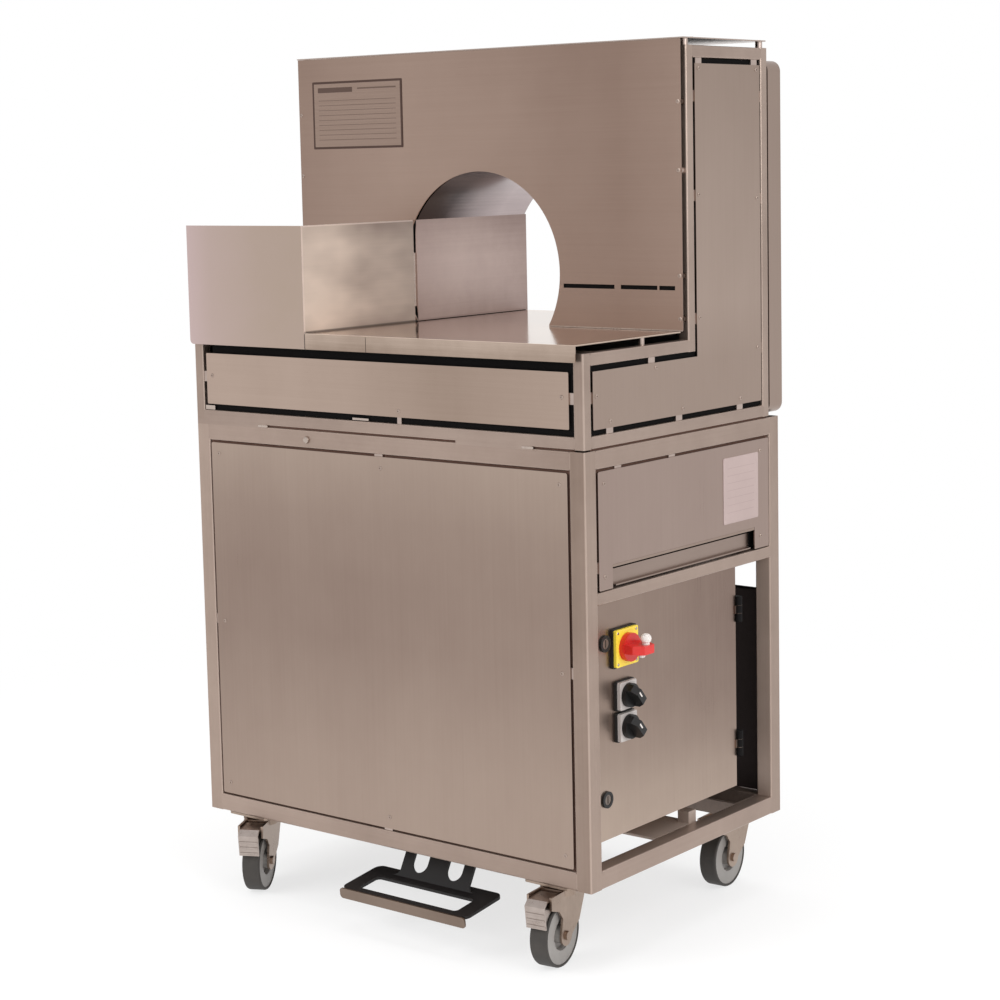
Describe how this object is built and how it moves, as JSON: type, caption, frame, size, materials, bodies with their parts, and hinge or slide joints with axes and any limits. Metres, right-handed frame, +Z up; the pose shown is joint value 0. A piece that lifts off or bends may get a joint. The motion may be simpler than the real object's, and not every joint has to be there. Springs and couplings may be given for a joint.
{
  "type": "arch banding machine",
  "caption": "Wheeled stainless banding machine with a round arch tunnel over a table, guide fence, tool-free tray, foot pedal and a hinged electrical enclosure on swivel casters.",
  "frame": {"origin": "on the floor, at the centre of the footprint box", "axes": "+X to the operator's right, +Y from the operator to the rear through the tunnel, +Z up"},
  "size_m": [0.893, 0.669, 1.4765],
  "materials": {
    "satin_steel": "brushed stainless steel sheet and tube",
    "bright_steel": "smooth bright stainless steel",
    "dark_paint": "black coated steel",
    "grey_aluminium": "machined aluminium plate",
    "grey_paint": "grey painted motor",
    "black_plastic": "black moulded plastic",
    "black_rubber": "black rubber",
    "yellow_plastic": "yellow moulded plastic",
    "red_plastic": "red moulded plastic",
    "light_grey_plastic": "light grey moulded plastic",
    "grey_plastic": "grey wheel core",
    "grey_rubber": "grey elastic tread"
  },
  "bodies": {
    "machine": {"lower_frame_posts": "satin_steel", "lower_frame_rails": "satin_steel", "upper_frame_posts": "satin_steel", "upper_frame_rails": "satin_steel", "front_panel": "satin_steel", "cabinet_panels": "satin_steel", "base_pan": "satin_steel", "right_service_panel": "satin_steel", "base_front_panel": "satin_steel", "right_side_cover": "satin_steel", "left_side_cover": "satin_steel", "tower_front_cover": "satin_steel", "rear_cover": "satin_steel", "top_cover": "satin_steel", "enclosure_box": "satin_steel", "side_table": "satin_steel", "front_fence": "satin_steel", "rear_fence": "satin_steel", "cover_mounts": "bright_steel", "tunnel_liner": "bright_steel", "infeed_table": "bright_steel", "tunnel_floor": "bright_steel", "pedal_shaft": "bright_steel", "caster_plates": "bright_steel", "door_hinges": "dark_paint", "rear_panel": "dark_paint", "track_plate": "grey_aluminium", "head_housing": "grey_aluminium", "feed_motor": "grey_paint", "band_track": "black_plastic"},
    "door": {"enclosure_door": "satin_steel", "switch_gaskets": "black_rubber", "main_switch_plate": "yellow_plastic", "selector_bezels": "light_grey_plastic"},
    "lock_upper": {"door_lock_upper": "dark_paint"},
    "lock_lower": {"door_lock_lower": "dark_paint"},
    "main_switch": {"main_switch_handle": "red_plastic"},
    "selector_upper": {"selector_knob_upper": "black_plastic"},
    "selector_lower": {"selector_knob_lower": "black_plastic"},
    "tray": {"waste_tray": "bright_steel"},
    "pedal": {"foot_pedal": "dark_paint", "pedal_tread": "satin_steel"},
    "press": {"seal_press": "bright_steel"},
    "feed": {"feed_roller": "black_rubber"},
    "pinch": {"pinch_roller": "black_rubber"},
    "swivel_fl": {"caster_fork_fl": "bright_steel"},
    "wheel_fl": {"caster_rim_fl": "grey_plastic", "caster_tyre_fl": "grey_rubber"},
    "swivel_fr": {"caster_fork_fr": "bright_steel"},
    "wheel_fr": {"caster_rim_fr": "grey_plastic", "caster_tyre_fr": "grey_rubber"},
    "swivel_rl": {"caster_fork_rl": "bright_steel"},
    "wheel_rl": {"caster_rim_rl": "grey_plastic", "caster_tyre_rl": "grey_rubber"},
    "swivel_rr": {"caster_fork_rr": "bright_steel"},
    "wheel_rr": {"caster_rim_rr": "grey_plastic", "caster_tyre_rr": "grey_rubber"},
    "brake_fl": {"caster_brake_fl": "bright_steel"},
    "brake_fr": {"caster_brake_fr": "bright_steel"}
  },
  "joints": [
    {"name": "door_hinge", "type": "hinge", "parent": "machine", "child": "door", "pos_m": [0.3955, 0.17646, 0.401], "axis": [0, 0, 1], "range_deg": [0, 105]},
    {"name": "lock_upper_turn", "type": "hinge", "parent": "door", "child": "lock_upper", "pos_m": [0.3935, -0.21054, 0.528], "axis": [1, 0, 0], "range_deg": [-90, 0]},
    {"name": "lock_lower_turn", "type": "hinge", "parent": "door", "child": "lock_lower", "pos_m": [0.3935, -0.21054, 0.276], "axis": [1, 0, 0], "range_deg": [-90, 0]},
    {"name": "main_switch_turn", "type": "hinge", "parent": "door", "child": "main_switch", "pos_m": [0.4015, -0.16254, 0.516], "axis": [1, 0, 0], "range_deg": [0, 90]},
    {"name": "selector_upper_turn", "type": "hinge", "parent": "door", "child": "selector_upper", "pos_m": [0.4025, -0.16254, 0.438], "axis": [1, 0, 0], "range_deg": [-80, 0]},
    {"name": "selector_lower_turn", "type": "hinge", "parent": "door", "child": "selector_lower", "pos_m": [0.4025, -0.16254, 0.387], "axis": [1, 0, 0], "range_deg": [-80, 0]},
    {"name": "tray_slide", "type": "slide", "parent": "machine", "child": "tray", "axis": [1, 0, 0], "range_m": [0, 0.3]},
    {"name": "pedal_pivot", "type": "hinge", "parent": "machine", "child": "pedal", "pos_m": [0.0605, -0.21254, 0.153], "axis": [1, 0, 0], "range_deg": [0, 8], "stiffness_Nm_per_rad": 6, "springref_deg": -20.05},
    {"name": "press_slide", "type": "slide", "parent": "machine", "child": "press", "axis": [0, 0, 1], "range_m": [0, 0.008]},
    {"name": "feed_spin", "type": "hinge", "parent": "machine", "child": "feed", "pos_m": [-0.1115, 0.01146, 0.938], "axis": [0, 1, 0], "continuous": true},
    {"name": "pinch_spin", "type": "hinge", "parent": "machine", "child": "pinch", "pos_m": [-0.0745, 0.01146, 0.938], "axis": [0, 1, 0], "continuous": true},
    {"name": "swivel_fl_turn", "type": "hinge", "parent": "machine", "child": "swivel_fl", "pos_m": [-0.3565, -0.23354, 0.128], "axis": [0, 0, 1], "continuous": true},
    {"name": "wheel_fl_spin", "type": "hinge", "parent": "swivel_fl", "child": "wheel_fl", "pos_m": [-0.34833, -0.24957, 0.053], "axis": [0.891, 0.454, 0], "continuous": true},
    {"name": "brake_fl_lift", "type": "hinge", "parent": "swivel_fl", "child": "brake_fl", "pos_m": [-0.34197, -0.26205, 0.1199], "axis": [0.891, 0.454, 0], "range_deg": [-20, 0]},
    {"name": "swivel_fr_turn", "type": "hinge", "parent": "machine", "child": "swivel_fr", "pos_m": [0.3135, -0.23354, 0.128], "axis": [0, 0, 1], "continuous": true},
    {"name": "wheel_fr_spin", "type": "hinge", "parent": "swivel_fr", "child": "wheel_fr", "pos_m": [0.31569, -0.2514, 0.053], "axis": [0.9925, 0.1219, 0], "continuous": true},
    {"name": "brake_fr_lift", "type": "hinge", "parent": "swivel_fr", "child": "brake_fr", "pos_m": [0.3174, -0.2653, 0.1199], "axis": [0.9925, 0.1219, 0], "range_deg": [-20, 0]},
    {"name": "swivel_rl_turn", "type": "hinge", "parent": "machine", "child": "swivel_rl", "pos_m": [-0.3565, 0.26046, 0.128], "axis": [0, 0, 1], "continuous": true},
    {"name": "wheel_rl_spin", "type": "hinge", "parent": "swivel_rl", "child": "wheel_rl", "pos_m": [-0.354, 0.24264, 0.053], "axis": [0.9903, 0.1392, 0], "continuous": true},
    {"name": "swivel_rr_turn", "type": "hinge", "parent": "machine", "child": "swivel_rr", "pos_m": [0.3135, 0.26046, 0.128], "axis": [0, 0, 1], "continuous": true},
    {"name": "wheel_rr_spin", "type": "hinge", "parent": "swivel_rr", "child": "wheel_rr", "pos_m": [0.31444, 0.24249, 0.053], "axis": [0.9986, 0.0523, 0], "continuous": true}
  ],
  "couplings": [
    {"joint": "pinch_spin", "follows": "feed_spin", "ratio": -1}
  ]
}
